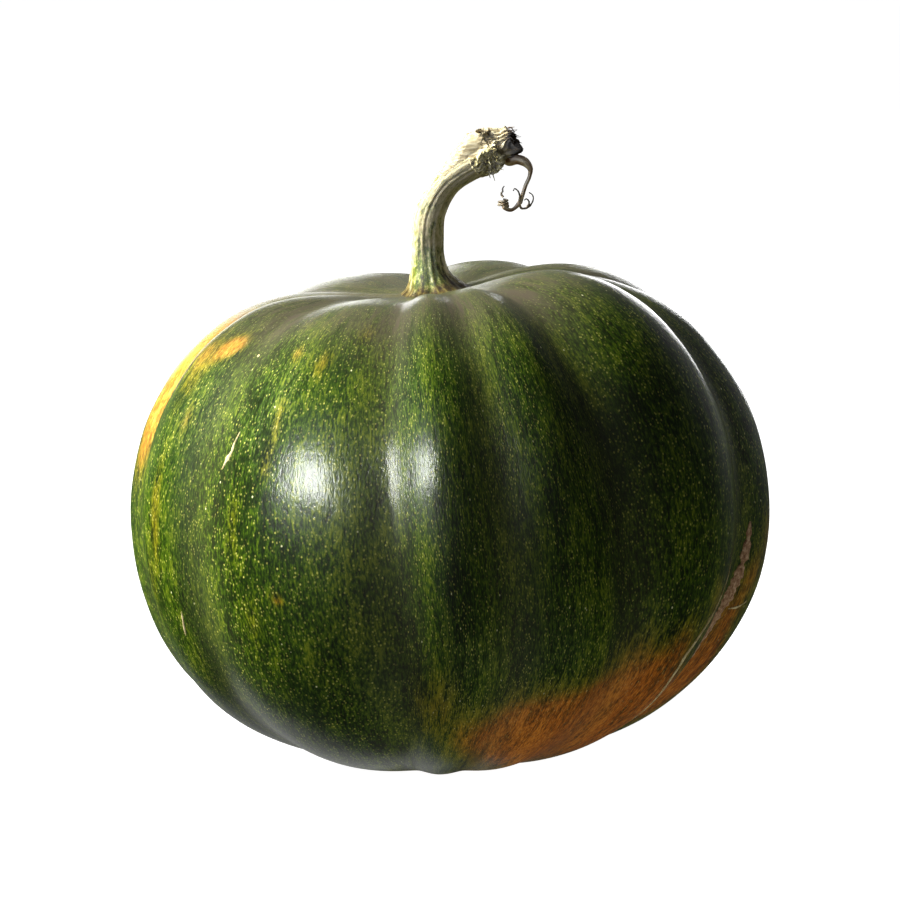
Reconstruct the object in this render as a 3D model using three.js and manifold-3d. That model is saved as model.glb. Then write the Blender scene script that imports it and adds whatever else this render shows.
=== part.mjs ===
// A whole pumpkin with its stalk, a stub of the vine it grew on and a dried tendril.
//
// Millimetres, +Z up. The origin is the middle of the whole thing's footprint, on the surface that
// it rests on. The front is towards -Y, and the fruit leans a little towards -X.
//
// The skin is a squashed ball with a hollow round the stalk, cut into uneven ribs by soft grooves.
// Its lowest few millimetres are flat: that is the spot it rests on.
import * as THREE from "three";
import { mergeVertices } from "three/addons/utils/BufferGeometryUtils.js";
import Module from "manifold-3d";

const wasm = await Module();
wasm.setup();

// ---- Sizes that can be set ----

const WAIST_RADIUS = 126.5; // core to skin at the widest ring, before ribs and grooves
const CROWN_HEIGHT = 106; // widest ring to the top, before the hollow is pressed in
const BELLY_DEPTH = 104; // widest ring to the blossom end, before the flat spot
const FLAT_DEPTH = 3; // how much of the blossom end the flat spot takes off
const SIDE_FULLNESS = 0.91; // 1 is an ellipse, and less is a fuller side
const BELLY_FULLNESS = 0.9;
const HOLLOW_DEPTH = 26; // the hollow round the stalk
const HOLLOW_RADIUS = 62;
const LEAN = 6; // degrees, towards -X
const BELLY_SHIFT = 4; // how far the blossom end sits towards -X
const LEVEL_SHARE = 0.8; // the part of the belly over which the lean dies away
const GROOVE_ROUND = 9; // how softly a groove's bottom turns
const GROOVE_FADE_ABOVE = 0.95; // how fast the grooves die towards the stalk
const GROOVE_FADE_BELOW = 1.1; // and towards the blossom end

const STALK_RADIUS = 6;
const STALK_NECK_RADIUS = 5.2;
const STALK_RISE = 50.5; // height of the stalk's end above the hollow
const STALK_REACH = 22; // how far it bends over towards +X
const FOOT_RADIUS = 14.5; // the flared foot
const FOOT_SPREAD = 4.9; // height over which most of the flare is gone
const FOOT_SUNK = 4; // how far the foot starts below the bottom of the hollow
const FLUTES = 5; // ridges round the stalk
const FLUTE_DEPTH = 0.07; // share of the stalk's radius

const VINE_RADIUS = 6.2;
const VINE_LENGTH = 20;
const KNOB_LIP = 0.9; // how far the knob stands proud of the stalk's end
const SCAR_RADIUS = 5.4; // the leaf stalk's scar on the vine stub
const SCAR_REACH = 9.5; // from the vine's middle to the scar's face

const TENDRIL_ROOT_RADIUS = 1.9;
const TENDRIL_RADIUS = 0.75;
const CURL_RADIUS = 0.8;
const CURL_TIP_RADIUS = 0.35;
const COIL_RADIUS = 1.7; // the tight coil at the left curl's end
const COIL_PITCH = 1.1;
const COIL_TURNS = 2.5;

const CLEARANCE = 0.3; // between pieces that touch

// Each rib, from the back round past -X, the front and +X: the azimuth of its left groove in
// degrees (0 is the front, 90 is +X), how far that groove drifts towards the blossom end, how far
// the rib swells at the shoulder and at the haunch, and its left groove's depth above and below.
const RIBS = [
  [-178, 0, -2.5, -1, 8, 6],
  [-117, 0, -3.5, 1.5, 8, 6],
  [-75, 5, 0, 0, 7, 6],
  [-49.5, -2, -2, 2, 5, 5],
  [-9, 0, -1, 2, 6, 4],
  [10.5, 0, -1, 1, 3.5, 2.5],
  [32, 2, 2.5, 0.5, 7.5, 3.5],
  [67.5, -8, -5.5, 2, 8, 8.5],
  [98, 2, -3.5, 2, 8, 6],
  [135, 2, -2.5, -1.5, 8, 6],
];

const COLUMNS_PER_RIB = 9;
const RINGS = 36;

const DEGREE = Math.PI / 180;
const REST_HEIGHT = BELLY_DEPTH - FLAT_DEPTH; // widest ring above the surface it rests on

// ---- Working on meshes ----

// A three.js geometry with its shared vertices merged and each one moved by place(vertex).
function moved(geometry, place) {
  geometry.deleteAttribute("normal");
  geometry.deleteAttribute("uv");
  const merged = mergeVertices(geometry);
  const position = merged.attributes.position;
  const vertex = new THREE.Vector3();
  for (let i = 0; i < position.count; i++) {
    vertex.fromBufferAttribute(position, i);
    const target = place(vertex);
    position.setXYZ(i, target.x, target.y, target.z);
  }
  merged.computeVertexNormals();
  return merged;
}

function solidOf(geometry) {
  return new wasm.Manifold(
    new wasm.Mesh({
      numProp: 3,
      vertProperties: geometry.attributes.position.array,
      triVerts: new Uint32Array(geometry.index.array),
    }),
  );
}

function geometryOf(solid) {
  const mesh = solid.getMesh();
  const geometry = new THREE.BufferGeometry();
  geometry.setAttribute("position", new THREE.BufferAttribute(mesh.vertProperties, 3));
  geometry.setIndex(new THREE.BufferAttribute(mesh.triVerts, 1));
  geometry.computeVertexNormals();
  return geometry;
}

function ease(share) {
  const t = THREE.MathUtils.clamp(share, 0, 1);
  return t * t * (3 - 2 * t);
}

// A closed tube along a smooth line through the points. radiusAt(along, angle) gives its radius,
// with along from 0 to 1, and its skin and both its ends stand proud by as much as is asked.
function tube(points, sides, steps, proud, radiusAt) {
  const line = new THREE.CatmullRomCurve3(points, false, "centripetal");
  const { tangents, normals, binormals } = line.computeFrenetFrames(steps, false);
  const middles = line.getSpacedPoints(steps);
  middles[0].addScaledVector(tangents[0], -proud);
  middles[steps].addScaledVector(tangents[steps], proud);
  return moved(new THREE.CylinderGeometry(1, 1, 1, sides, steps), (v) => {
    const step = Math.round((v.y + 0.5) * steps);
    const radius = radiusAt(step / steps, Math.atan2(v.x, v.z)) + proud;
    return middles[step]
      .clone()
      .addScaledVector(normals[step], v.z * radius)
      .addScaledVector(binormals[step], v.x * radius);
  });
}

// ---- The fruit ----

// The plain outline before ribs: distance from the core and height over the widest ring.
function outline(fall) {
  const out = Math.abs(Math.sin(fall));
  const up = Math.cos(fall);
  const distance = WAIST_RADIUS * out ** SIDE_FULLNESS;
  if (up > 0) {
    const hollow = HOLLOW_DEPTH * Math.exp(-((distance / HOLLOW_RADIUS) ** 2));
    return new THREE.Vector2(distance, (CROWN_HEIGHT - hollow) * up);
  }
  return new THREE.Vector2(distance, -BELLY_DEPTH * (-up) ** BELLY_FULLNESS);
}

// The outline's outward direction.
function outlineNormal(fall) {
  const step = 0.001;
  const middle = THREE.MathUtils.clamp(fall, 2 * step, Math.PI - 2 * step);
  const along = outline(middle + step).sub(outline(middle - step));
  return new THREE.Vector2(-along.y, along.x).normalize();
}

// How far a rib's skin stands off the outline: its own swelling, shared near an edge with the
// neighbour's, less the groove at that edge. low is 0 at the shoulder and 1 at the haunch.
function ribOffset(rib, across, low, out, width) {
  const edge = across < 0.5 ? rib : (rib + 1) % RIBS.length;
  const neighbour = across < 0.5 ? (rib + RIBS.length - 1) % RIBS.length : edge;
  const swell = (k) => THREE.MathUtils.lerp(RIBS[k][2], RIBS[k][3], low) * ease(1.6 * out);
  const own = 0.5 + 0.5 * Math.sin(Math.PI * across);
  const soft = (d) => Math.hypot(d, GROOVE_ROUND) - GROOVE_ROUND;
  const away = soft(Math.min(across, 1 - across) * width) / soft(width / 2);
  const fade = THREE.MathUtils.lerp(GROOVE_FADE_ABOVE, GROOVE_FADE_BELOW, low);
  const depth = THREE.MathUtils.lerp(RIBS[edge][4], RIBS[edge][5], low) * out ** fade;
  return swell(rib) * own + swell(neighbour) * (1 - own) - depth * (1 - away) ** 2;
}

// A point of the skin. fall goes from 0 at the stalk to PI at the blossom end, across from 0 to 1
// over the rib, and proud lifts the point off the skin.
function skinPoint(fall, rib, across, proud) {
  const down = -Math.cos(fall);
  const edgeOf = (k) => RIBS[k % RIBS.length][0] + RIBS[k % RIBS.length][1] * down;
  const left = edgeOf(rib);
  const right = edgeOf(rib + 1) + (rib + 1 === RIBS.length ? 360 : 0);
  const azimuth = THREE.MathUtils.lerp(left, right, across) * DEGREE;
  const width = (right - left) * DEGREE * WAIST_RADIUS;
  const out = Math.abs(Math.sin(fall));
  const offset = ribOffset(rib, across, ease((1 + down) / 2), out, width) + proud;
  const spot = outline(fall).addScaledVector(outlineNormal(fall), offset);
  const distance = Math.max(spot.x, 0);
  return leaned(distance * Math.sin(azimuth), -distance * Math.cos(azimuth), spot.y);
}

// The fruit leans as a whole, but its belly has grown level where it rests.
function leaned(x, y, z) {
  const upright = 1 - ease((z + BELLY_DEPTH) / (LEVEL_SHARE * BELLY_DEPTH));
  const angle = LEAN * DEGREE * (1 - upright);
  const across = x * Math.cos(angle) - z * Math.sin(angle) - BELLY_SHIFT * upright;
  const height = x * Math.sin(angle) + z * Math.cos(angle) + REST_HEIGHT;
  return new THREE.Vector3(across, y, Math.max(height, 0));
}

function fruitGeometry(proud) {
  const columns = RIBS.length * COLUMNS_PER_RIB;
  return moved(new THREE.SphereGeometry(1, columns, RINGS), (v) => {
    const fall = Math.acos(THREE.MathUtils.clamp(v.y, -1, 1));
    const turn = Math.atan2(v.z, -v.x) / (2 * Math.PI);
    const column = Math.round((turn + 1) * columns) % columns;
    const even = (column % COLUMNS_PER_RIB) / COLUMNS_PER_RIB;
    const across = even - 0.08 * Math.sin(2 * Math.PI * even); // columns crowd near the grooves
    return skinPoint(fall, Math.floor(column / COLUMNS_PER_RIB), across, proud);
  });
}

// ---- The stalk ----

const seat = skinPoint(0, 0, 0, 0); // the bottom of the hollow

// A point on the stalk's middle line: a share of its reach and of its rise, and a sideways shift.
function stalkPoint(reach, side, rise) {
  return new THREE.Vector3(reach * STALK_REACH, side, rise * STALK_RISE).add(seat);
}

const stalkEnd = stalkPoint(0.95, -3, 1.01);

// Its foot starts below the skin, and the fruit is cut out of it.
function stalkGeometry(proud) {
  const points = [
    stalkPoint(0.14, 0, -FOOT_SUNK / STALK_RISE),
    stalkPoint(0.1, 0, 0.03),
    stalkPoint(0.05, 0, 0.15),
    stalkPoint(0.02, 0, 0.38),
    stalkPoint(0.07, -0.5, 0.62),
    stalkPoint(0.33, -1.5, 0.83),
    stalkPoint(0.72, -2.5, 0.96),
    stalkEnd,
  ];
  const length = new THREE.CatmullRomCurve3(points, false, "centripetal").getLength();
  return tube(points, 20, 26, proud, (along, angle) => {
    const height = Math.max(along * length - FOOT_SUNK, 0);
    const flare = (FOOT_RADIUS - STALK_RADIUS) * Math.exp(-height / FOOT_SPREAD);
    const neck = ease((along - 0.5) / 0.35);
    const shaft = THREE.MathUtils.lerp(STALK_RADIUS, STALK_NECK_RADIUS, neck);
    const flute = 1 + FLUTE_DEPTH * Math.cos(FLUTES * angle);
    return (shaft + flare) * flute;
  });
}

// ---- The vine stub ----

const vineMiddle = stalkEnd.clone().add(new THREE.Vector3(4.8, 3, 5.6));

function fromVine(x, y, z) {
  return vineMiddle.clone().add(new THREE.Vector3(x, y, z));
}

// The vine itself, which crosses the stalk's end and is thickest there.
function logSolid(proud) {
  const half = VINE_LENGTH / 2;
  const points = [
    fromVine(-half, 2, 0.5),
    fromVine(-half / 2, 0.6, 1),
    fromVine(0, 0, 0.4),
    fromVine(half / 2, -0.6, 0),
    fromVine(half, -1, 0),
  ];
  const log = tube(points, 16, 10, proud, (along, angle) => {
    const swelling = 0.86 + 0.22 * Math.sin(Math.PI * along) + 0.06 * Math.cos(3 * angle);
    return VINE_RADIUS * swelling;
  });
  return solidOf(log);
}

// The knob where the stalk joins the vine.
function knobSolid(proud) {
  const points = [stalkEnd.clone().add(new THREE.Vector3(-3, 0, -1)), stalkEnd, vineMiddle];
  const collar = STALK_NECK_RADIUS + KNOB_LIP;
  return solidOf(tube(points, 16, 6, proud, (along) => THREE.MathUtils.lerp(collar, VINE_RADIUS, along)));
}

// The stub of the leaf stalk, whose scar faces the front.
function scarSolid(proud) {
  const points = [
    fromVine(-1, 1, -1.5),
    fromVine(-1, -SCAR_REACH / 2, -3.5),
    fromVine(-1, -SCAR_REACH, -5),
  ];
  return solidOf(tube(points, 16, 6, proud, (along) => SCAR_RADIUS * (1.05 - 0.12 * along)));
}

function vineSolid(proud) {
  return logSolid(proud).add(knobSolid(proud)).add(scarSolid(proud));
}

// ---- The tendril ----

const tendrilRoot = fromVine(6, -3, -5); // inside the vine stub, which is cut out of the tendril

function fromRoot(x, y, z) {
  return tendrilRoot.clone().add(new THREE.Vector3(x, y, z));
}

const tendrilNode = fromRoot(4.5, -1, -16); // where the curls grow

function fromNode(x, y, z) {
  return tendrilNode.clone().add(new THREE.Vector3(x, y, z));
}

// It bends over and hangs.
function hangingSolid() {
  const points = [
    tendrilRoot,
    fromRoot(3.2, -0.4, 0.6),
    fromRoot(6.2, -0.8, -0.4),
    fromRoot(8.2, -1, -3),
    fromRoot(8, -1, -5.8),
    fromRoot(6.4, -1, -9.6),
    fromRoot(5.3, -1, -13.2),
    tendrilNode,
  ];
  const hanging = tube(points, 10, 16, 0, (along) =>
    THREE.MathUtils.lerp(TENDRIL_ROOT_RADIUS, TENDRIL_RADIUS, ease(along / 0.6)),
  );
  return solidOf(hanging);
}

function curlSolid(points, steps) {
  const radiusAt = (along) => THREE.MathUtils.lerp(CURL_RADIUS, CURL_TIP_RADIUS, along);
  return solidOf(tube(points, 6, steps, 0, radiusAt));
}

// Points of the tight coil, which winds upwards round its own middle.
function coilPoints() {
  const pointsPerTurn = 8;
  const points = [];
  for (let i = 0; i <= COIL_TURNS * pointsPerTurn; i++) {
    const turn = i / pointsPerTurn;
    const angle = 2 * Math.PI * turn - Math.PI / 2;
    const x = -6.6 + COIL_RADIUS * Math.cos(angle);
    const y = -0.6 + COIL_RADIUS * Math.sin(angle);
    points.push(fromNode(x, y, -1.6 + COIL_PITCH * turn));
  }
  return points;
}

function tendrilSolid() {
  const left = [
    fromNode(0, 0, 0.5),
    fromNode(-1.6, -0.4, -1.6),
    fromNode(-3.7, -1.2, -2.8),
    ...coilPoints(),
  ];
  const hook = [
    fromNode(0.3, 0, -0.4),
    fromNode(-0.4, -0.8, 1),
    fromNode(-0.3, -1.4, 2.6),
    fromNode(-1, -1.8, 4.6),
    fromNode(-2.3, -1.8, 5.5),
    fromNode(-2.8, -1.8, 4.6),
  ];
  const right = [
    fromNode(-0.4, 0, 0.2),
    fromNode(0.4, 0.3, -2.2),
    fromNode(3, 0.8, -1.9),
    fromNode(4.5, 1.4, -0.2),
    fromNode(5, 1.8, 1.7),
    fromNode(4.5, 2, 2.9),
    fromNode(3.3, 2, 3.7),
  ];
  return hangingSolid().add(curlSolid(left, 44)).add(curlSolid(hook, 12)).add(curlSolid(right, 18));
}

// ---- The whole pumpkin ----

function piece(name, geometry, color, roughness) {
  const mesh = new THREE.Mesh(geometry, new THREE.MeshStandardMaterial({ color, roughness }));
  mesh.name = name;
  return mesh;
}

const stalkSolid = solidOf(stalkGeometry(0)).subtract(solidOf(fruitGeometry(CLEARANCE)));
const clearOfStalk = solidOf(stalkGeometry(CLEARANCE));
const vineStub = vineSolid(0).subtract(clearOfStalk);
const tendril = tendrilSolid().subtract(vineSolid(CLEARANCE)).subtract(clearOfStalk);

const pumpkin = new THREE.Group();
pumpkin.add(
  piece("fruit", fruitGeometry(0), 0x26380f, 0.35),
  piece("stem", geometryOf(stalkSolid), 0xaaa56c, 0.7),
  piece("vine_stub", geometryOf(vineStub), 0x8f7d52, 0.85),
  piece("tendril", geometryOf(tendril), 0xb9a07a, 0.75),
);

// The origin goes to the middle of the footprint.
const middle = new THREE.Box3().setFromObject(pumpkin).getCenter(new THREE.Vector3());
pumpkin.position.set(-middle.x, -middle.y, 0);

export default pumpkin;
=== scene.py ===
import bpy
import numpy as np
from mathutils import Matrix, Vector


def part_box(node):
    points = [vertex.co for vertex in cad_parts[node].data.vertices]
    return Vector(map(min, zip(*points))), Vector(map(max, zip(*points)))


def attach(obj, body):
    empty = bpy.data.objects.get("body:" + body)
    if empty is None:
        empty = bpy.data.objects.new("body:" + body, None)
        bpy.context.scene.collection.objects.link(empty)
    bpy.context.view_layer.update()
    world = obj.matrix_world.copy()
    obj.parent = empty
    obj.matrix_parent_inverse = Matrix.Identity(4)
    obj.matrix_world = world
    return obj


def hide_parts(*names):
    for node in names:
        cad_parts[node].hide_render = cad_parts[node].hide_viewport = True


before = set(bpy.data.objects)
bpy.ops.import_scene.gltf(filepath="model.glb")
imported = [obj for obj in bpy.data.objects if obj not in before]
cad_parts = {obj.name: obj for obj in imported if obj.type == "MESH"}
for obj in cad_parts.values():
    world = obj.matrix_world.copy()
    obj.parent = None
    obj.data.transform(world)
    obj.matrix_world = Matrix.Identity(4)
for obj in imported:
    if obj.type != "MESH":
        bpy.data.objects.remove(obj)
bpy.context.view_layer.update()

# ------------------------------------------------------------------------------------------
# The fruit. A ripe winter pumpkin grows as one hard shell of ten ribs about its stalk, sunk
# where the stalk sits and rubbed flat where it stood on the ground. It is left as it was
# picked: deep green, speckled, waxy, and turning orange where it ripened first.

MM = 0.001
WAIST_RADIUS = 126.5
CROWN_HEIGHT = 106
BELLY_DEPTH = 104
REST_HEIGHT = 101
SIDE_FULLNESS = 0.91
BELLY_FULLNESS = 0.9
HOLLOW_DEPTH = 26
HOLLOW_RADIUS = 62
LEAN = np.radians(6)
BELLY_SHIFT = 4
LEVEL_SHARE = 0.8
GROOVE_ROUND = 9
GROOVE_FADE = (0.95, 1.1)  # above the waist, below it
BLOSSOM_RADIUS = 9
BLOSSOM_DEPTH = 2.6
# Each rib: azimuth of the groove on its left in degrees (0 is the front), how far that groove
# drifts on the way down, then how far the rib swells at its shoulder and at its haunch, and
# how deep the groove is above and below the waist, in millimetres.
RIBS = np.array([
    (-178, 0, -2.5, -1, 8, 6),
    (-117, 0, -3.5, 1.5, 8, 6),
    (-75, 5, 0, 0, 7, 6),
    (-49.5, -2, -2, 2, 5, 5),
    (-9, 0, -1, 2, 6, 4),
    (10.5, 0, -1, 1, 3.5, 2.5),
    (32, 2, 2.5, 0.5, 7.5, 3.5),
    (67.5, -8, -5.5, 2, 8, 8.5),
    (98, 2, -3.5, 2, 8, 6),
    (135, 2, -2.5, -1.5, 8, 6),
])
COLUMNS_PER_RIB = 58
RINGS = 158
SWELLS = 26  # gentle uneven swells all over the shell
SWELL_SPAN = (18, 60)  # the shortest and the longest of them
SWELL_HEIGHT = 0.16
SLOPE_STEP = 0.001  # how far apart two points are taken to find a slope


def ease(t):
    """3t² − 2t³ of t held between 0 and 1: a step with soft ends."""
    t = np.clip(t, 0, 1)
    return t * t * (3 - 2 * t)


def mixed(a, b, share):
    """a at share 0, b at share 1, in a straight line between."""
    return a + (b - a) * share


def outline(fall):
    """The plain shell cut down its middle. Distance out is the waist times sin(fall) to a power;
    height is cos(fall) times the crown less a bell-shaped hollow, or times the belly below."""
    sine = np.abs(np.sin(fall))
    up = np.cos(fall)
    out = WAIST_RADIUS * sine**SIDE_FULLNESS
    hollow = HOLLOW_DEPTH * np.exp(-((out / HOLLOW_RADIUS) ** 2))
    below = -BELLY_DEPTH * np.abs(up) ** BELLY_FULLNESS
    return out, np.where(up > 0, (CROWN_HEIGHT - hollow) * up, below)


def waves(points, count, shortest, longest, seed):
    """A sum of sine waves through space with seeded directions, lengths and phases, of height 1."""
    rng = np.random.default_rng(seed)
    way = rng.normal(size=(count, 3))
    way /= np.linalg.norm(way, axis=1)[:, None]
    length = rng.uniform(shortest, longest, count)
    phase = rng.uniform(0, 2 * np.pi, count)
    total = sum(
        np.sin(points @ (2 * np.pi * w / n) + p) for w, n, p in zip(way, length, phase)
    )
    return total / np.sqrt(count)


def skin(fall, column):
    """Points of the ribbed shell. fall goes from 0 at the stalk to pi underneath; column counts
    ribs, 3.5 being half way across the fourth. The plain outline is moved along its normal:
    out by the rib's swell, shared with its neighbour, and in by the groove's depth times the
    square of (1 − distance from the groove), rounded at the bottom. Then the top leans over. With
    the points comes how deep in a groove each lies, from 0 to 1."""
    fall, column = np.broadcast_arrays(fall, np.mod(column, len(RIBS)))
    rib = np.floor(column).astype(int) % len(RIBS)
    across = column - np.floor(column)
    out, height = outline(fall)
    near = np.clip(fall, 2 * SLOPE_STEP, np.pi - 2 * SLOPE_STEP)
    out_a, height_a = outline(near - SLOPE_STEP)
    out_b, height_b = outline(near + SLOPE_STEP)
    normal_out, normal_up = height_a - height_b, out_b - out_a
    size = np.hypot(normal_out, normal_up)
    down = -np.cos(fall)
    low = ease((1 + down) / 2)
    sine = np.abs(np.sin(fall))
    after = (rib + 1) % len(RIBS)
    left = RIBS[rib, 0] + RIBS[rib, 1] * down
    right = RIBS[after, 0] + RIBS[after, 1] * down + 360 * (after == 0)
    azimuth = np.radians(mixed(left, right, across))
    width = np.radians(right - left) * WAIST_RADIUS
    edge = np.where(across < 0.5, rib, after)
    neighbour = np.where(across < 0.5, rib - 1, after) % len(RIBS)
    full = ease(1.6 * sine)
    own = 0.5 + 0.5 * np.sin(np.pi * across)
    swell = mixed(RIBS[rib, 2], RIBS[rib, 3], low) * own
    swell = swell + mixed(RIBS[neighbour, 2], RIBS[neighbour, 3], low) * (1 - own)
    rounded = np.hypot(np.minimum(across, 1 - across) * width, GROOVE_ROUND) - GROOVE_ROUND
    away = rounded / (np.hypot(width / 2, GROOVE_ROUND) - GROOVE_ROUND)
    depth = mixed(RIBS[edge, 4], RIBS[edge, 5], low) * sine ** mixed(*GROOVE_FADE, low)
    offset = swell * full - depth * (1 - away) ** 2
    out = np.maximum(out + normal_out / size * offset, 0)
    height = height + normal_up / size * offset
    point = np.stack([out * np.sin(azimuth), -out * np.cos(azimuth), height], -1)
    upright = 1 - ease((height + BELLY_DEPTH) / (LEVEL_SHARE * BELLY_DEPTH))
    angle = LEAN * (1 - upright)
    x = point[..., 0] * np.cos(angle) - height * np.sin(angle) - BELLY_SHIFT * upright
    z = point[..., 0] * np.sin(angle) + height * np.cos(angle) + REST_HEIGHT
    swells = SWELL_HEIGHT * waves(point, SWELLS, *SWELL_SPAN, seed=7) * full
    point = np.stack([x, point[..., 1], z], -1) * (1 + swells[..., None] / WAIST_RADIUS)
    blossom = BLOSSOM_DEPTH * np.exp(-((out / BLOSSOM_RADIUS) ** 2)) * (fall > 2)
    point[..., 2] = np.maximum(point[..., 2], 0) + blossom
    return point, (1 - away) ** 2 * full


columns = np.arange(COLUMNS_PER_RIB * len(RIBS)) / COLUMNS_PER_RIB
columns = columns - 0.05 * np.sin(2 * np.pi * columns)  # closer together in the grooves
falls = np.linspace(0, np.pi, RINGS + 2)[1:-1]
shell, groove = skin(falls[:, None], columns[None, :])
low_corner, high_corner = (np.array(corner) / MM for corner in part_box("fruit"))
middle = (low_corner + high_corner) / 2 - (shell.min((0, 1)) + shell.max((0, 1))) / 2
PLACE = np.array([middle[0], middle[1], 0.0])  # from the shell's own axis to the part's origin
shell = shell + PLACE


def closed_grid(grid):
    """Vertices and faces of a grid whose columns go round: quads between the rows, and a fan
    from the middle of the first row and of the last one, turned to face out."""
    rows, sides = grid.shape[:2]
    index = np.arange(rows * sides).reshape(rows, sides)
    beside = np.roll(index, -1, 1)
    quads = np.stack([index[:-1], index[1:], beside[1:], beside[:-1]], -1).reshape(-1, 4)
    first, last = rows * sides, rows * sides + 1
    top = np.stack([index[0], beside[0], np.full(sides, first)], -1)
    bottom = np.stack([beside[-1], index[-1], np.full(sides, last)], -1)
    ends = [grid[0].mean(0), grid[-1].mean(0)]
    vertices = np.vstack([grid.reshape(-1, 3), ends])
    triangles = np.vstack([quads[:, :3], quads[:, [0, 2, 3]], top, bottom])
    a, b, c = (vertices[triangles[:, k]] for k in range(3))
    if np.einsum("ij,ij->", a, np.cross(b, c)) < 0:
        quads, top, bottom = quads[:, ::-1], top[:, ::-1], bottom[:, ::-1]
    return vertices, quads.tolist() + top.tolist() + bottom.tolist()


def with_ends(values):
    """A value at each grid point, then the mean of the first row and of the last one."""
    values = np.asarray(values, float)
    flat = values.reshape(values.shape[0] * values.shape[1], -1)
    sides = values.shape[1]
    return np.vstack([flat, flat[:sides].mean(0), flat[-sides:].mean(0)]).squeeze()


def make_piece(name, vertices, faces, material, slot, node=None, **attributes):
    """A smooth-shaded mesh from millimetres to metres, with its values per vertex, which rides
    on the part's one body and stands for the node that it details."""
    mesh = bpy.data.meshes.new(name)
    mesh.from_pydata((vertices * MM).tolist(), [], faces)
    mesh.polygons.foreach_set("use_smooth", [True] * len(mesh.polygons))
    for key, values in attributes.items():
        vector = np.ndim(values) == 2
        layer = mesh.attributes.new(key, "FLOAT_VECTOR" if vector else "FLOAT", "POINT")
        layer.data.foreach_set("vector" if vector else "value", np.float32(values).ravel())
    mesh.materials.append(material)
    piece = bpy.data.objects.new(name, mesh)
    bpy.context.scene.collection.objects.link(piece)
    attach(piece, "root")
    if node:
        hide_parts(node)
    return piece


# Ripening patches: azimuth and height of the middle, half width, half height, strength.
RIPE = [
    (-60, 167, 4, 3, 1.0), (-62, 164, 4, 4, 0.5), (-64, 152, 5, 8, 0.35), (-67, 163, 4, 6, 0.5),
    (-78, 160, 10, 12, 1.0), (-86, 150, 14, 18, 1.0), (-95, 158, 18, 14, 0.9), (-86, 126, 9, 14, 0.7),
    (-62, 114, 2.6, 14, 0.32), (-61, 98, 2.6, 14, 0.32), (-64, 80, 4, 14, 0.25), (-59, 141, 2.6, 5, 0.45),
    (-34, 145, 2.6, 9, 0.34), (-34, 131, 2.4, 5, 0.34), (-37, 168, 3, 2.6, 0.5), (-29, 166, 3, 4, 0.45),
    (-22, 175, 3, 3, 0.4), (-40, 108, 4, 14, 0.22), (-36, 70, 6, 16, 0.2), (-30, 83, 2.2, 2.2, 0.62),
    (-2, 44, 9, 14, 0.4), (6, 28, 10, 10, 0.55), (15, 32, 11, 13, 0.8), (23, 32, 12, 13, 1.0),
    (33, 36, 13, 14, 1.0), (42, 42, 11, 14, 1.0), (24, 18, 16, 9, 0.9), (40, 22, 18, 11, 1.0),
    (52, 32, 12, 14, 1.0), (38, 62, 8, 10, 0.35), (48, 58, 7, 12, 0.6), (55, 74, 5, 12, 0.4),
    (70, 42, 12, 14, 1.0), (66, 28, 12, 12, 1.0), (72, 62, 8, 10, 0.6), (76, 76, 8, 10, 0.55),
    (82, 90, 8, 12, 0.5), (100, 34, 22, 12, 0.8), (135, 52, 16, 14, 0.6), (-150, 38, 24, 12, 0.6),
    (-168, 152, 12, 9, 0.5), (150, 120, 6, 16, 0.35), (-125, 90, 6, 20, 0.35),
]
GROUND_SPOT = 52  # how far the pale spot reaches that lay on the soil


def ripeness(points):
    """1 where fully ripe: each patch is a bell of the distance from its middle, and patches join
    as 1 − the product of what each leaves green."""
    azimuth = np.degrees(np.arctan2(points[..., 0], -points[..., 1]))
    radius = np.hypot(points[..., 0], points[..., 1])
    green = 1 - 0.85 * np.exp(-((radius / GROUND_SPOT) ** 4)) * (points[..., 2] < 60)
    for middle_azimuth, height, wide, tall, strength in RIPE:
        turn = np.radians((azimuth - middle_azimuth + 180) % 360 - 180)
        square = (turn * radius / wide) ** 2 + ((points[..., 2] - height) / tall) ** 2
        green = green * (1 - strength * np.exp(-0.7 * square))
    return 1 - green


def srgb(code):
    """An sRGB hex colour as linear RGBA: c/12.92, or ((c + 0.055)/1.055)^2.4 above 0.04."""
    c = np.array([int(code[i:i + 2], 16) for i in (1, 3, 5)]) / 255
    return (*np.where(c < 0.04045, c / 12.92, ((c + 0.055) / 1.055) ** 2.4), 1.0)


UNDER, OVER, MIXED = 6, 7, 2  # the colour sockets of a Mix node


def add(tree, kind, inputs=None, stops=(), **settings):
    """Adds a shader node, sets its properties and colour stops, and fills each input with a
    value, with one of another node's outputs or, where a node is given, with its first one."""
    node = tree.nodes.new("ShaderNode" + kind)
    for key, value in settings.items():
        setattr(node, key, value)
    for i, (place, colour) in enumerate(stops):
        ramp = node.color_ramp.elements
        stop = ramp[i] if i < len(ramp) else ramp.new(place)
        stop.position, stop.color = place, colour
    for key, value in (inputs or {}).items():
        if isinstance(value, bpy.types.Node):
            value = value.outputs[0]
        if isinstance(value, bpy.types.NodeSocket):
            tree.links.new(value, node.inputs[key])
        else:
            node.inputs[key].default_value = value
    return node


def new_material(name):
    """An empty node material and its node tree."""
    material = bpy.data.materials.new(name)
    material.use_nodes = True
    material.node_tree.nodes.clear()
    return material, material.node_tree


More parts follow.
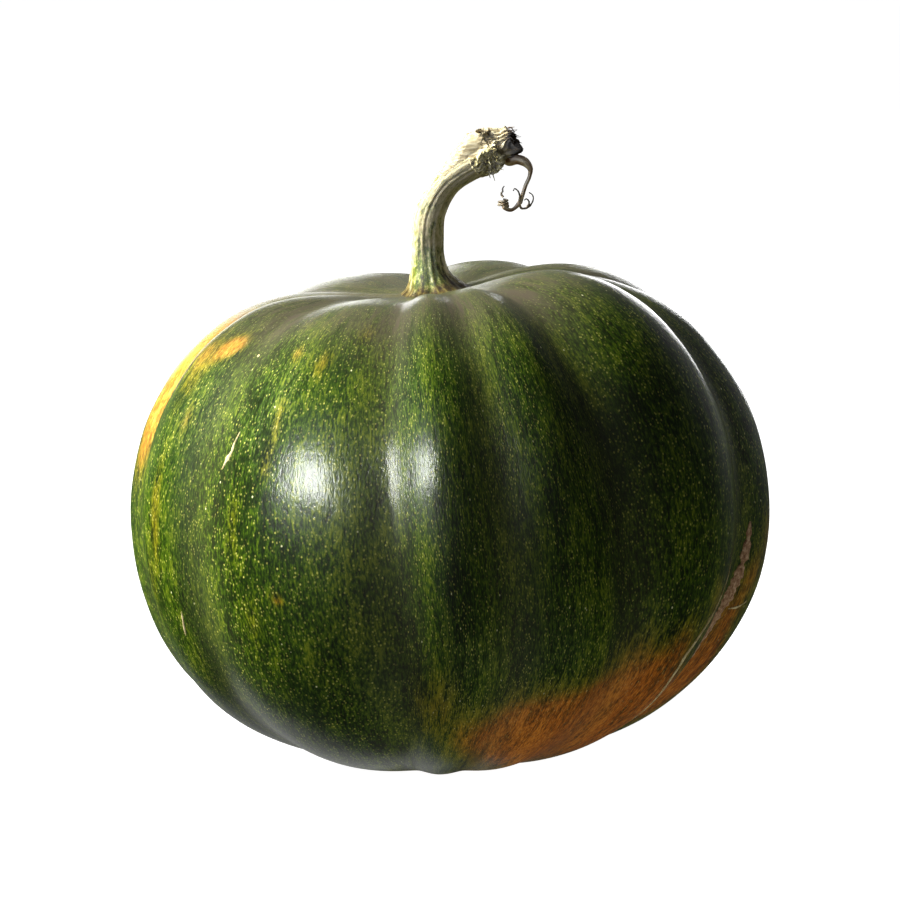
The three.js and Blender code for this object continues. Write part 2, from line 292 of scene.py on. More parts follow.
def waxy_rind():
    """Pumpkin rind: a hard living skin under its own wax. The eye sees deep green clouded with
    olive and blue-green, a grain of short hairlines along the ribs, pale breathing pores strewn
    over it, orange where it is ripe, and a soft gloss that the grain and pores break up."""
    material, tree = new_material("pumpkin rind, waxy")
    grow = add(tree, "Attribute", attribute_name="grow").outputs["Vector"]  # mm along the skin
    ripe, crease, rise, crown = (
        add(tree, "Attribute", attribute_name=name).outputs["Fac"]
        for name in ("ripe", "groove", "rise", "crown")
    )
    drawn = add(tree, "Mapping", {"Vector": grow, "Scale": (1, 1, 0.45)})
    cloud, mottle, hair = (  # clouds of 24 mm, blotches of 4.5 mm, and hairlines of 0.85 mm
        add(tree, "TexNoise", {"Vector": drawn, "Scale": 1 / size, "Detail": detail, "Roughness": rough})
        for size, detail, rough in ((24, 3.0, 0.6), (4.5, 5.0, 0.65), (0.85, 2.0, 0.6))
    )
    both = add(tree, "Mix", {"Factor": 0.55, 2: cloud, 3: mottle})
    tone = add(tree, "Mix", {"Factor": 0.45, 2: both, 3: hair})
    green = add(tree, "ValToRGB", {"Fac": tone}, [
        (0.4, srgb("#0f1a02")), (0.47, srgb("#1e3103")), (0.53, srgb("#385006")), (0.61, srgb("#6a7616")),
    ])
    cool = add(tree, "TexNoise", {"Vector": drawn, "Scale": 1 / 34, "Detail": 2.0})
    cooled = add(tree, "MapRange", {0: cool, 1: 0.5, 2: 0.66, 4: 0.4})
    green = add(tree, "Mix", {"Factor": cooled, UNDER: green, OVER: srgb("#1a3010")},
                data_type="RGBA").outputs[MIXED]
    pore = add(tree, "TexVoronoi", {"Vector": grow, "Scale": 1 / 1.2})  # a pore every 1.2 mm
    pore_size = add(tree, "MapRange", {0: pore.outputs["Distance"], 1: 0.36, 2: 0.1})
    chance = add(tree, "SeparateColor", {0: pore.outputs["Color"]})
    shown = add(tree, "MapRange", {0: chance, 1: 0.15, 2: 1.0, 4: 1.0})
    patchy = add(tree, "MapRange", {0: mottle, 1: 0.36, 2: 0.58, 3: 0.25})
    speck = add(tree, "Math", {0: pore_size, 1: shown}, operation="MULTIPLY")
    speck_here = add(tree, "Math", {0: speck, 1: patchy}, operation="MULTIPLY")
    speckled = add(tree, "Mix", {"Factor": speck_here, UNDER: green, OVER: srgb("#c4c25c")},
                   data_type="RGBA").outputs[MIXED]
    dot = add(tree, "TexVoronoi", {"Vector": grow, "Scale": 1 / 7})  # a few paler ones, 7 mm apart
    dot_size = add(tree, "MapRange", {0: dot.outputs["Distance"], 1: 0.06, 2: 0.025})
    dotted = add(tree, "Mix", {"Factor": dot_size, UNDER: speckled, OVER: srgb("#dcdca4")},
                 data_type="RGBA").outputs[MIXED]
    ragged = add(tree, "Mix", {"Factor": 0.5, 2: mottle, 3: hair})
    edge = add(tree, "Math", {0: ragged, 1: 3.0, 2: -1.6}, operation="MULTIPLY_ADD")
    reach = add(tree, "Math", {0: ripe, 1: edge})
    turned = add(tree, "MapRange", {0: reach, 1: 0.0, 2: 0.95})
    kept_green = add(tree, "MapRange", {0: ripe, 1: 0.02, 2: 0.3})
    turned = add(tree, "Math", {0: turned, 1: kept_green}, operation="MULTIPLY", use_clamp=True)
    deep = add(tree, "ValToRGB", {"Fac": tone}, [
        (0.4, srgb("#6e400c")), (0.5, srgb("#a85c12")), (0.6, srgb("#cc8024")),
    ])
    gold = add(tree, "ValToRGB", {"Fac": tone}, [
        (0.4, srgb("#a86c1c")), (0.5, srgb("#c88a28")), (0.6, srgb("#e0a84c")),
    ])
    high = add(tree, "MapRange", {0: rise, 1: 60.0, 2: 120.0})
    orange = add(tree, "Mix", {"Factor": high, UNDER: deep, OVER: gold}, data_type="RGBA").outputs[MIXED]
    part_ripe = add(tree, "MapRange", {0: ripe, 1: 0.7, 2: 0.35})
    orange = add(tree, "Mix", {"Factor": part_ripe, UNDER: orange, OVER: srgb("#8a7c14")},
                 data_type="RGBA").outputs[MIXED]
    flecks = add(tree, "Math", {0: speck, 1: 0.45}, operation="MULTIPLY")
    orange = add(tree, "Mix", {"Factor": flecks, UNDER: orange, OVER: srgb("#e0b468")},
                 data_type="RGBA").outputs[MIXED]
    ripened = add(tree, "Mix", {"Factor": turned, UNDER: dotted, OVER: orange},
                  data_type="RGBA").outputs[MIXED]
    # Grey-brown on the crown and in the grooves: the rind's waxy bloom, and on the crown also a painted sheen
    # in place of the grey reflection there.
    dust_and_sheen = add(tree, "MapRange", {0: mottle, 1: 0.35, 2: 0.6, 3: 0.45, 4: 1.0})
    crown_bloom_and_sheen = add(tree, "Math", {0: crown, 1: dust_and_sheen}, operation="MULTIPLY")
    bloom_and_sheen = add(tree, "MapRange", {0: crease, 1: 0.3, 2: 1.0, 4: 0.25})
    bloom_and_sheen = add(tree, "Math", {0: crown_bloom_and_sheen, 1: 0.95, 2: bloom_and_sheen}, operation="MULTIPLY_ADD", use_clamp=True)
    dusted_and_sheened = add(tree, "Mix", {"Factor": bloom_and_sheen, UNDER: ripened, OVER: srgb("#464032")},
                 data_type="RGBA").outputs[MIXED]
    dull = add(tree, "MapRange", {0: bloom_and_sheen, 3: 0.46, 4: 0.75})
    grain = add(tree, "Math", {0: pore_size, 1: 0.12, 2: hair}, operation="MULTIPLY_ADD")
    wave = add(tree, "Math", {0: mottle, 1: 1.4, 2: grain}, operation="MULTIPLY_ADD")
    relief = add(tree, "Bump", {"Strength": 0.5, "Distance": 0.22 * MM, "Height": wave})
    wax = add(tree, "BsdfPrincipled", {
        "Base Color": dusted_and_sheened, "Roughness": dull, "IOR": 1.42, "Specular IOR Level": 0.12,
        "Coat Weight": 0.4, "Coat Roughness": 0.18, "Coat IOR": 1.42,
        "Normal": relief, "Coat Normal": relief,
    })
    add(tree, "OutputMaterial", {0: wax})
    return material


out_along, height_along = outline(falls)
arc = np.concatenate([[0], np.cumsum(np.hypot(np.diff(out_along), np.diff(height_along)))])
turns = 2 * np.pi * columns / len(RIBS)
ARC_SHARE = 0.75  # less than 1 draws every pattern out along the ribs
DUST_AND_SHEEN_RADIUS = 108  # how far from the stalk the dust and painted sheen on the crown reach
DUST_AND_SHEEN_FADE = 42  # over how wide a band it thins out
DUST_AND_SHEEN = 0.9
ones = np.ones(groove.shape)
grow = np.stack([
    ones * WAIST_RADIUS * np.cos(turns), ones * WAIST_RADIUS * np.sin(turns),
    ones * arc[:, None] * ARC_SHARE,
], -1)
# the crown's dust together with its painted sheen, thinning out away from the stalk
crown = DUST_AND_SHEEN * ease((DUST_AND_SHEEN_RADIUS - out_along) / DUST_AND_SHEEN_FADE) * (falls < np.pi / 2)
vertices, faces = closed_grid(shell)
make_piece("rind", vertices, faces, waxy_rind(), "skin", "fruit", grow=with_ends(grow),
           groove=with_ends(groove), ripe=with_ends(ripeness(shell)),
           rise=with_ends(shell[..., 2]), crown=with_ends(ones * crown[:, None]))

# ------------------------------------------------------------------------------------------
# The healed wounds. Scratches that the young shell closed with thin pale cork: a wide one in
# the right groove with a ridge along its lip, and five fine ones. They grew on the shell.

LIP_CORK = [(64, 88), (58, 78), (55.4, 70), (53, 63), (51, 55), (50.8, 46), (51.2, 38), (52, 31), (53, 25)]
WIDE_CORK = [(73.5, 98), (72.5, 89), (71, 78), (69.5, 70), (67.5, 61), (66, 52), (65.5, 43), (66, 34)]
WOUNDS = [  # azimuth and height along it, half width, height of the cork, all but the azimuths in mm
    (LIP_CORK, 0.55, 0.5), (WIDE_CORK, 3.6, 0.5), ([(71, 64.5), (74, 64), (77.5, 65)], 0.5, 0.3),
    ([(-43, 140.5), (-43.6, 136), (-43.8, 131.5)], 0.5, 0.3),
    ([(-43.6, 134), (-44.6, 130), (-45.4, 126.5)], 0.8, 0.3),
    ([(-56.6, 70), (-57, 65), (-57.4, 60)], 0.4, 0.3), ([(-50.4, 165.4), (-50.1, 164.6)], 0.6, 0.3),
]
FAR = 1e3  # keeps the search off the shell's two poles, where its columns meet
LONGEST_STEP = 0.02


def on_skin(azimuth, height):
    """Points of the shell at each azimuth and height, and its outward direction there: the
    nearest point of the shell's grid, moved by Newton steps on its slopes by fall and column."""
    turned = np.arctan2(shell[..., 0], -shell[..., 1])
    aside = 2 * WAIST_RADIUS * np.sin((np.radians(azimuth)[:, None, None] - turned) / 2)
    gap = np.hypot(aside, height[:, None, None] - shell[..., 2])
    gap += FAR * (np.abs(np.sin(falls)) < 0.3)[:, None]
    row, spot = np.unravel_index(gap.reshape(len(azimuth), -1).argmin(1), gap.shape[1:])
    place = np.stack([falls[row], columns[spot]], -1)
    for _ in range(6):
        points, found = [], []
        for nudge in ((0, 0), (SLOPE_STEP, 0), (0, SLOPE_STEP)):
            point = skin(*(place + nudge).T)[0] + PLACE
            points.append(point)
            found.append(np.stack([np.degrees(np.arctan2(point[:, 0], -point[:, 1])), point[:, 2]], -1))
        here, down, beside = found
        slopes = np.stack([down - here, beside - here], -1) / SLOPE_STEP
        miss = np.stack([azimuth, height], -1) - here
        miss[:, 0] = (miss[:, 0] + 180) % 360 - 180
        step = np.linalg.solve(slopes, miss[..., None])[..., 0]
        place = place + np.clip(step, -LONGEST_STEP, LONGEST_STEP)
    outward = np.cross(points[1] - points[0], points[2] - points[0])
    outward /= np.linalg.norm(outward, axis=1)[:, None]
    return points[0], outward * np.sign((outward * points[0])[:, :2].sum(1))[:, None]


def cork_strip(path, half_width, tall, seed):
    """A low ridge along a path on the shell: an ellipse across it, half sunk, whose width wanders
    by seeded waves and runs out to nothing at both ends like the root of a sine."""
    share = np.linspace(0, 1, 70)
    knots = np.linspace(0, 1, len(path))
    azimuth, height = (np.interp(share, knots, np.array(path, float)[:, k]) for k in (0, 1))
    line, outward = on_skin(azimuth, height)
    wander = waves(line, 10, 1.2, 7, seed)
    along = np.gradient(line, axis=0)
    along /= np.linalg.norm(along, axis=1)[:, None]
    side = np.cross(outward, along)
    angle = np.linspace(0, 2 * np.pi, 16, endpoint=False)
    taper = np.sqrt(np.sin(np.pi * np.clip(share, 0.01, 0.99)))
    across = (half_width * taper * (1 + 0.35 * wander))[:, None, None] * np.cos(angle)[:, None]
    rise = (tall * taper)[:, None, None] * np.sin(angle)[:, None]
    return closed_grid(line[:, None] + side[:, None] * across + outward[:, None] * rise)


def wound_cork():
    """Cork over a healed wound: dry, matt and finely cracked. The eye sees pinkish brown where it
    is broad, and cream where it closed a fine scratch."""
    material, tree = new_material("cork over a healed wound")
    place = add(tree, "TexCoord").outputs["Object"]
    grain = add(tree, "TexNoise", {"Vector": place, "Scale": 1 / (1.6 * MM), "Detail": 5.0, "Roughness": 0.7})
    broad = add(tree, "ValToRGB", {"Fac": grain}, [
        (0.36, srgb("#6a4a30")), (0.5, srgb("#a07c58")), (0.64, srgb("#c8a884")),
    ])
    fine = add(tree, "ValToRGB", {"Fac": grain}, [(0.36, srgb("#a08a54")), (0.6, srgb("#d8c894"))])
    narrow = add(tree, "Attribute", attribute_name="narrow").outputs["Fac"]
    colour = add(tree, "Mix", {"Factor": narrow, UNDER: broad, OVER: fine}, data_type="RGBA").outputs[MIXED]
    relief = add(tree, "Bump", {"Strength": 0.6, "Distance": 0.2 * MM, "Height": grain})
    cork = add(tree, "BsdfPrincipled", {
        "Base Color": colour, "Roughness": 0.7, "IOR": 1.45, "Normal": relief,
    })
    add(tree, "OutputMaterial", {0: cork})
    return material


wound = wound_cork()
for number, (path, half_width, tall) in enumerate(WOUNDS):
    vertices, faces = cork_strip(path, half_width, tall, number)
    make_piece(f"healed_wound_{number + 1}", vertices, faces, wound, "skin",
               narrow=np.full(len(vertices), float(half_width < 1)))

# ------------------------------------------------------------------------------------------
# The stalk. It is dried and woody, ridged lengthwise, and rooted in the hollow of the crown
# by a foot that spreads in five toes; it grew from there and stays on when the fruit is cut.

STALK_RADIUS = 6
STALK_NECK_RADIUS = 5.2
STALK_RISE = 50.5
STALK_REACH = 22
FOOT_RADIUS = 14.5
FOOT_SPREAD = 4.9
FOOT_SUNK = 4
FLUTES = 5
FLUTE_DEPTH = 0.04
TOE_DEPTH = 0.08  # the flutes stand out more where they spread into the foot
STALK_POINTS = [  # reach, side, rise
    (0.14, 0, -FOOT_SUNK / STALK_RISE), (0.1, 0, 0.03), (0.05, 0, 0.15), (0.02, 0, 0.38),
    (0.07, -0.5, 0.62), (0.33, -1.5, 0.83), (0.72, -2.5, 0.96), (0.95, -3, 1.01),
]


def through(points, steps):
    """A smooth line through the points at even steps: cubic stretches whose slopes are the
    centripetal Catmull–Rom ones, then measured off along their length."""
    points = np.asarray(points, float)
    p = np.vstack([2 * points[0] - points[1], points, 2 * points[-1] - points[-2]])
    t = np.concatenate([[0], np.cumsum(np.linalg.norm(np.diff(p, axis=0), axis=1) ** 0.5)])[:, None]
    before = (p[1:-1] - p[:-2]) / (t[1:-1] - t[:-2])
    after = (p[2:] - p[1:-1]) / (t[2:] - t[1:-1])
    slope = before + after - (p[2:] - p[:-2]) / (t[2:] - t[:-2])
    knots = t[1:-1, 0]
    fine = np.linspace(knots[0], knots[-1], 40 * len(points))
    i = np.clip(np.searchsorted(knots, fine, "right") - 1, 0, len(points) - 2)
    gap = (knots[i + 1] - knots[i])[:, None]
    u = (fine - knots[i])[:, None] / gap
    line = (points[i] * (2 * u**3 - 3 * u**2 + 1) + slope[i] * gap * (u**3 - 2 * u**2 + u)
            + points[i + 1] * (3 * u**2 - 2 * u**3) + slope[i + 1] * gap * (u**3 - u**2))
    length = np.concatenate([[0], np.cumsum(np.linalg.norm(np.diff(line, axis=0), axis=1))])
    even = np.linspace(0, length[-1], steps)
    return np.stack([np.interp(even, length, line[:, k]) for k in range(3)], -1), even


def carried(line, radius, sides):
    """A round section carried along a line: at each step a circle of radius(step, angle) in the
    plane across it. The sideways direction is taken along without twist."""
    tangent = np.gradient(line, axis=0)
    tangent /= np.linalg.norm(tangent, axis=1)[:, None]
    side = np.zeros_like(tangent)
    start = np.eye(3)[np.argmin(np.abs(tangent[0]))]
    for i, along in enumerate(tangent):
        start = start - along * (along @ start)
        start = start / np.linalg.norm(start)
        side[i] = start
    other = np.cross(tangent, side)
    angle = np.linspace(0, 2 * np.pi, sides, endpoint=False)
    share = np.linspace(0, 1, len(line))[:, None]
    size = np.broadcast_to(radius(share, angle[None, :]), (len(line), sides))[..., None]
    ring = side[:, None] * np.cos(angle)[:, None] + other[:, None] * np.sin(angle)[:, None]
    return line[:, None] + ring * size


seat = skin(np.zeros(1), np.zeros(1))[0][0] + PLACE
stalk_points = seat + np.array(STALK_POINTS) * (STALK_REACH, 1, STALK_RISE)
stalk_end = stalk_points[-1]
stalk_line, stalk_along = through(stalk_points, 240)


def stalk_radius(share, angle):
    """Thinner towards the neck, an exponential flare at the foot, times five lengthwise ridges
    with two finer ones between, which stand out most in the toes."""
    height = np.maximum(share * stalk_along[-1] - FOOT_SUNK, 0)
    flare = np.exp(-height / FOOT_SPREAD)
    plain = mixed(STALK_RADIUS, STALK_NECK_RADIUS, ease((share - 0.5) / 0.35))
    depth = FLUTE_DEPTH * (1 - 0.45 * ease(share / 0.3)) + TOE_DEPTH * flare
    toes = depth * np.cos(FLUTES * angle + 0.25 * np.sin(4 * share))
    fine = 0.014 * np.cos(3 * FLUTES * angle + 3 * share) + 0.01 * np.cos(23 * angle - 5 * share)
    uneven = 0.025 * np.sin(11 * share + 2 * angle) + 0.015 * np.sin(23 * share - 3 * angle)
    return (plain + (FOOT_RADIUS - STALK_RADIUS) * flare) * (1 + toes + fine + uneven)


def dry_stalk():
    """Dried pumpkin stalk: corky straw-coloured skin over wood fibre. The eye sees cream mottled with green,
    plain green in the furrows low at the front, and brown where the foot joins, which climbs higher up the
    right side as painted shadow."""
    material, tree = new_material("pumpkin stalk, dried")
    grow = add(tree, "Attribute", attribute_name="grow").outputs["Vector"]
    young, foot = (
        add(tree, "Attribute", attribute_name=name).outputs["Fac"] for name in ("young", "foot")
    )
    drawn = add(tree, "Mapping", {"Vector": grow, "Scale": (1, 1, 0.45)})
    fibre, cloud = (  # fibres of 0.9 mm and blotches of 2.6 mm
        add(tree, "TexNoise", {"Vector": drawn, "Scale": 1 / size, "Detail": detail, "Roughness": rough})
        for size, detail, rough in ((0.9, 4.0, 0.7), (2.6, 5.0, 0.65))
    )
    straw = add(tree, "ValToRGB", {"Fac": fibre}, [
        (0.36, srgb("#a0966c")), (0.46, srgb("#bcb284")), (0.6, srgb("#cec298")),
    ])
    leaf = add(tree, "ValToRGB", {"Fac": fibre}, [
        (0.36, srgb("#3a4a08")), (0.5, srgb("#66781a")), (0.58, srgb("#a4a850")), (0.68, srgb("#dcd8b0")),
    ])
    soft = add(tree, "Math", {0: cloud, 1: 2.6, 2: -1.3}, operation="MULTIPLY_ADD")
    greenness = add(tree, "Math", {0: young, 1: soft})
    greenness = add(tree, "MapRange", {0: greenness, 1: 0.15, 2: 0.6})
    body = add(tree, "Mix", {"Factor": greenness, UNDER: straw, OVER: leaf}, data_type="RGBA").outputs[MIXED]
    brown = add(tree, "ValToRGB", {"Fac": fibre}, [
        (0.36, srgb("#20160a")), (0.5, srgb("#4a3c16")), (0.64, srgb("#7c7034")),
    ])
    # the root's own brown at the foot, and painted shadow where it reaches higher on the right side
    root_brown_and_shadow = add(tree, "Math", {0: foot, 1: soft})
    root_brown_and_shadow = add(tree, "MapRange", {0: root_brown_and_shadow, 1: 0.2, 2: 0.7})
    colour = add(tree, "Mix", {"Factor": root_brown_and_shadow, UNDER: body, OVER: brown}, data_type="RGBA").outputs[MIXED]
    rough = add(tree, "Math", {0: cloud, 1: 1.2, 2: fibre}, operation="MULTIPLY_ADD")
    relief = add(tree, "Bump", {"Strength": 0.6, "Distance": 0.3 * MM, "Height": rough})
    cork = add(tree, "BsdfPrincipled", {
        "Base Color": colour, "Roughness": 0.6, "IOR": 1.5, "Normal": relief, "Subsurface Weight": 0.35,
        "Subsurface Radius": (1.0, 0.9, 0.6), "Subsurface Scale": 2.5 * MM,  # into the dry pith
    })
    add(tree, "OutputMaterial", {0: cork})
    return material


def tube_grow(grid, along, radius):
    """Where each point lies on the tube's own skin, in mm: its angle on a cylinder of the tube's
    usual radius, and its distance along."""
    angle = np.linspace(0, 2 * np.pi, grid.shape[1], endpoint=False)
    circle = radius * np.stack([np.cos(angle), np.sin(angle)], -1)
    return np.concatenate([
        np.broadcast_to(circle, (len(grid), *circle.shape)),
        np.broadcast_to(along[:, None, None], (*grid.shape[:2], 1)),
    ], -1)


stalk = carried(stalk_line, stalk_radius, 100)
outward = stalk - stalk_line[:, None]
outward /= np.linalg.norm(outward, axis=2)[..., None]
share = np.linspace(0, 1, len(stalk_line))[:, None]
facing = np.exp(-((outward[..., 0] + 0.05) / 0.75) ** 2) * (outward[..., 1] < 0)
young = 1.2 * np.exp(-(((share - 0.18) / 0.14) ** 2)) + 0.3 * np.exp(-(((share - 0.45) / 0.2) ** 2))
young = np.maximum(young * facing, 0.4 * ease(0.1 + outward[..., 0]) * ease(1 - share))
root_brown_and_shadow_reach = 4.5 + 5 * ease(outward[..., 0])  # the brown of the root climbs higher on its right side, where it is painted shadow
foot = np.exp(-np.maximum(stalk[..., 2] - seat[2], 0) / root_brown_and_shadow_reach)
vertices, faces = closed_grid(stalk)
make_piece("stalk", vertices, faces, dry_stalk(), "stalk", "stem", young=with_ends(young),
           foot=with_ends(foot), grow=with_ends(tube_grow(stalk, stalk_along, STALK_RADIUS)))

# ------------------------------------------------------------------------------------------
# The vine stub. Where the stalk grew from the trailing vine, a short knot of the vine was left
# on: barky outside, torn and brown at its ends, with the fibrous round scar of a leaf stalk at
# the front and the hollow stump of a side shoot on top. It is one dried woody piece.

VINE_RADIUS = 6.2
JOINT_RADIUS = 5.5  # where the stalk runs into the vine
SCAR_RADIUS = 5.4
SCAR_HOLLOW = 1.3
SHOOT_RADIUS = 3.0
SHOOT_HOLLOW = 3.2
NECK_RADIUS = 4.6
SPUR_RADIUS = 3.2
BARK_HEIGHT = 0.3
KNOT = stalk_end + np.array((4.8, 3, 5.6))
LOG_POINTS = [(-8.6, 1.2, 1.2), (-4.4, 0.6, 1.2), (0, 0, 0.9), (4, -0.6, 1), (7.4, -1, 3)]
SCAR_POINTS = [(-0.6, 1, -1.5), (-0.9, -4, -3.6), (-1.1, -8.4, -5.2)]
SHOOT_POINTS = [(-3.2, -1, 1), (-4, -2.2, 4), (-4.4, -3, 6.6)]
SPUR_POINTS = [(2, -1, -1), (4.4, -2.2, -2.8), (6, -3, -4.6)]
NECK_POINTS = [(-16, -2.2, -13), (-11.5, -1.6, -7.2), (-7, -0.6, -1.6), (-3, 0, 1.2)]
GRAIN = 0.3  # the finest relief of the bark, mm


def plain_tube(points, steps, sides, radius):
    """A closed tube of radius(share, angle) through points, as vertices and faces."""
    return closed_grid(carried(through(points, steps)[0], radius, sides))


def joined(parts):
    """Several closed surfaces as one list of vertices and one of faces."""
    vertices, faces, count = [], [], 0
    for points, polygons in parts:
        vertices.append(points)
        faces += [[i + count for i in polygon] for polygon in polygons]
        count += len(points)
    return np.vstack(vertices), faces


def one_skin(vertices, faces, voxel):
    """The outer skin of overlapping surfaces, remade as even small faces: its points, its faces
    and the outward direction at each point."""
    rough = bpy.data.meshes.new("rough")
    rough.from_pydata(vertices.tolist(), [], faces)
    block = bpy.data.objects.new("rough", rough)
    bpy.context.scene.collection.objects.link(block)
    remesh = block.modifiers.new("skin", "REMESH")
    remesh.mode = "VOXEL"
    remesh.voxel_size = voxel
    made = block.evaluated_get(bpy.context.evaluated_depsgraph_get()).to_mesh()
    points = np.zeros(len(made.vertices) * 3)
    made.vertices.foreach_get("co", points)
    normals = np.zeros(len(made.vertices) * 3)
    made.vertices.foreach_get("normal", normals)
    polygons = [list(polygon.vertices) for polygon in made.polygons]
    bpy.data.objects.remove(block)
    return points.reshape(-1, 3), polygons, normals.reshape(-1, 3)


def spikes(angle, count, seed):
    """A torn edge round a circle: seeded heights from 0 to 1 at count places, joined by straight
    lines, so that it rises in points."""
    heights = np.random.default_rng(seed).uniform(0, 1, count) ** 1.5
    return np.interp(np.mod(angle, 2 * np.pi), np.linspace(0, 2 * np.pi, count + 1),
                     np.append(heights, heights[0]))


def straight(path):
    """The length of the straight line from a path's start to its end, and its direction."""
    line = np.subtract(path[-1], path[0])
    return np.linalg.norm(line), line / np.linalg.norm(line)


def to_axis(points, path):
    """Distance along that line, distance from it, and the angle about it, of points that are
    given, as the path is, from the knot's middle."""
    along = straight(path)[1]
    across = np.cross(along, (0, 0, 1))
    across /= np.linalg.norm(across)
    rest = points - path[0]
    u, v = rest @ across, rest @ np.cross(along, across)
    return rest @ along, np.hypot(u, v), np.arctan2(v, u)


def log_radius(share, angle):
    """The vine's radius: fuller in the middle, with three blunt corners."""
    return VINE_RADIUS * (0.6 + 0.38 * ease(2.2 * share) - 0.1 * share + 0.05 * np.cos(3 * angle))


knot_parts = joined([
    plain_tube(KNOT + np.array(LOG_POINTS), 30, 40, log_radius),
    plain_tube(np.array([stalk_line[-9], stalk_end, mixed(stalk_end, KNOT, 0.5), KNOT]), 20, 40,
               lambda share, angle: JOINT_RADIUS + 0.8 * ease(1.5 * share)),
    plain_tube(KNOT + np.array(SCAR_POINTS), 16, 40,
               lambda share, angle: SCAR_RADIUS * (1.06 - 0.1 * share + 0.04 * np.cos(5 * angle))),
    plain_tube(KNOT + np.array(SHOOT_POINTS), 14, 30, lambda share, angle: SHOOT_RADIUS - 0.3 * share),
    plain_tube(KNOT + np.array(NECK_POINTS), 24, 40,
               lambda share, angle: NECK_RADIUS + 1.6 * ease(share)),
    plain_tube(KNOT + np.array(SPUR_POINTS), 14, 30, lambda share, angle: SPUR_RADIUS - 1.0 * share),
])
points, faces, normals = one_skin(*knot_parts, GRAIN)
local = points - KNOT
log_length, log_axis = straight(LOG_POINTS)
scar_length, scar_axis = straight(SCAR_POINTS)
shoot_length, shoot_axis = straight(SHOOT_POINTS)
log_way, log_out, log_angle = to_axis(local, LOG_POINTS)
scar_way, scar_out, scar_angle = to_axis(local, SCAR_POINTS)
shoot_way, shoot_out, _ = to_axis(local, SHOOT_POINTS)
# how far each point is in the scar, in the shoot's mouth and at either torn end, from 0 to 1
in_scar = ease((scar_way - scar_length + 2.2) / 1.6) * ease((SCAR_RADIUS + 1.6 - scar_out) / 0.8)
in_shoot = ease((shoot_way - shoot_length + 1.6) / 0.8) * ease((2.6 - shoot_out) / 0.8)
at_right = ease((log_way - log_length + 2.6) / 1.8)
at_left = ease((2.4 - log_way) / 1.6)
slanted = log_angle + 0.09 * log_way + 0.25 * waves(points, 12, 4, 12, 12)
bark = np.sin(13 * slanted) + 0.7 * np.sin(29 * slanted + 1)
lumps = waves(points, 24, 1.6, 6, 11)
smooth = ease((local[:, 0] + 6) / 6)  # the stalk's own skin runs up the left side
lift = BARK_HEIGHT * bark * smooth + 0.16 * lumps * (0.4 + 0.6 * smooth)
lift = lift * (1 - in_scar) * (1 - 0.6 * in_shoot)
scar_turn = scar_angle + 0.3 * waves(points, 10, 2, 5, 14)
scar_spokes = 0.22 * np.cos(17 * scar_turn) + 0.2 * waves(points, 16, 0.9, 2, 13)
lift += in_scar * (scar_spokes - SCAR_HOLLOW * np.exp(-((scar_out / 3) ** 2)))
vertices = points + normals * lift[:, None]
vertices -= shoot_axis * (SHOOT_HOLLOW * in_shoot)[:, None]
torn_right = at_right * (3.4 * spikes(log_angle, 17, 3) - 1.2 * (1 - ease(log_out / 5)))
torn_left = at_left * (2.0 * spikes(log_angle, 13, 4) - 1.0 * (1 - ease(log_out / 4)))
vertices[:, 0] += torn_right - torn_left
GRAIN_DRAWN = 0.16  # patterns are drawn out this much along the fibres
grain = local - (local @ log_axis)[:, None] * log_axis * (1 - GRAIN_DRAWN)
spokes = np.stack([4 * np.cos(scar_turn), 4 * np.sin(scar_turn), GRAIN_DRAWN * scar_out], -1)
grain = mixed(grain, spokes + 30, np.round(in_scar)[:, None])
# painted shade: the bark is made darker towards the right and the bottom of the knot
painted_shade_right_low = 0.32 * ease((local[:, 0] - 1) / 5) * ease((5 - local[:, 2]) / 4)
upper = ease((local[:, 2] - 0.5) / 3)  # it tore open on its upper side
burnt = np.clip(at_right * (0.5 + 0.5 * upper) + 0.3 * at_left + 1.3 * in_shoot + painted_shade_right_low, 0, 1)


